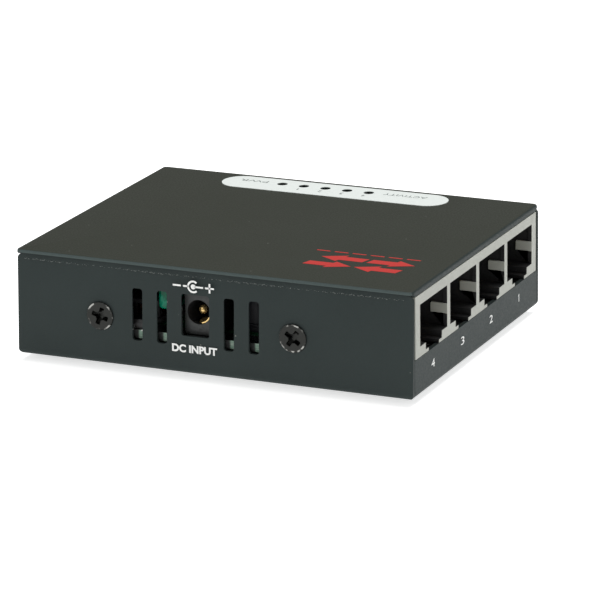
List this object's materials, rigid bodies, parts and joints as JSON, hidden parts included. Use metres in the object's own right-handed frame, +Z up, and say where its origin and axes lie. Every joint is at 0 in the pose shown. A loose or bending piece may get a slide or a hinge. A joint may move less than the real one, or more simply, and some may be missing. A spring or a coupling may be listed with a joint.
{
  "type": "desktop network switch",
  "caption": "Pocket-size desktop Ethernet switch in a folded black steel case, with ganged network sockets on a short side, a DC inlet between vent slots and an indicator label on top.",
  "frame": {"origin": "middle of the footprint, on the surface that the rubber feet stand on", "axes": "+X towards the network sockets, +Y away from the wall with the power inlet, +Z up"},
  "size_m": [0.0764, 0.0614, 0.0209],
  "materials": {
    "black_paint": "fine-textured satin powder coat on steel",
    "black_steel": "black oxide",
    "nickel": "nickel plate",
    "grey_plastic": "light warm-grey moulded plastic",
    "black_plastic": "black moulded plastic",
    "gold": "gold-plated spring bronze",
    "rubber": "matte black rubber",
    "white_label": "satin printed film",
    "board": "green solder mask on glass epoxy",
    "green_film": "green dipped film capacitor",
    "green_lens": "tinted clear lamp body",
    "ferrite": "dark ferrite"
  },
  "bodies": {
    "case": {"base_tray": "black_paint", "top_cover": "black_paint", "indicator_label": "white_label", "circuit_board": "board", "rubber_foot_1": "rubber", "rubber_foot_2": "rubber", "rubber_foot_3": "rubber", "rubber_foot_4": "rubber", "case_screw_1": "black_steel", "case_screw_2": "black_steel", "case_screw_3": "black_steel", "case_screw_4": "black_steel", "board_standoff_1": "nickel", "board_screw_1": "nickel", "board_standoff_2": "nickel", "board_screw_2": "nickel", "board_standoff_3": "nickel", "board_screw_3": "nickel", "board_standoff_4": "nickel", "board_screw_4": "nickel", "switch_chip": "black_plastic", "magnetics_1": "black_plastic", "magnetics_2": "black_plastic", "crystal_can": "nickel", "power_inductor": "ferrite", "voltage_regulator": "black_plastic", "input_diode": "black_plastic", "filter_capacitor_1": "black_plastic", "filter_capacitor_2": "black_plastic", "film_capacitor": "green_film", "jack_housing": "grey_plastic", "port_1_insert": "black_plastic", "port_2_insert": "black_plastic", "port_3_insert": "black_plastic", "port_4_insert": "black_plastic", "led_1": "green_lens", "led_spacer_1": "black_plastic", "led_2": "green_lens", "led_spacer_2": "black_plastic", "led_3": "green_lens", "led_spacer_3": "black_plastic", "led_4": "green_lens", "led_spacer_4": "black_plastic", "led_5": "green_lens", "led_spacer_5": "black_plastic", "power_socket_body": "black_plastic", "power_socket_pin": "gold"},
    "port_1_contacts_set": {"port_1_contacts": "gold"},
    "port_2_contacts_set": {"port_2_contacts": "gold"},
    "port_3_contacts_set": {"port_3_contacts": "gold"},
    "port_4_contacts_set": {"port_4_contacts": "gold"},
    "power_leaf": {"power_socket_spring": "gold"}
  },
  "joints": [
    {"name": "port_1_contacts_press", "type": "hinge", "parent": "case", "child": "port_1_contacts_set", "pos_m": [0.036, 0.02096, 0.0174], "axis": [0, 1, 0], "range_deg": [0, 8], "stiffness_Nm_per_rad": 0.3},
    {"name": "port_2_contacts_press", "type": "hinge", "parent": "case", "child": "port_2_contacts_set", "pos_m": [0.036, 0.00698, 0.0174], "axis": [0, 1, 0], "range_deg": [0, 8], "stiffness_Nm_per_rad": 0.3},
    {"name": "port_3_contacts_press", "type": "hinge", "parent": "case", "child": "port_3_contacts_set", "pos_m": [0.036, -0.00698, 0.0174], "axis": [0, 1, 0], "range_deg": [0, 8], "stiffness_Nm_per_rad": 0.3},
    {"name": "port_4_contacts_press", "type": "hinge", "parent": "case", "child": "port_4_contacts_set", "pos_m": [0.036, -0.02096, 0.0174], "axis": [0, 1, 0], "range_deg": [0, 8], "stiffness_Nm_per_rad": 0.3},
    {"name": "power_socket_spring_press", "type": "hinge", "parent": "case", "child": "power_leaf", "pos_m": [-0.00323, -0.01936, 0.00885], "axis": [1, 0, 0], "range_deg": [0, 4], "stiffness_Nm_per_rad": 0.15}
  ]
}
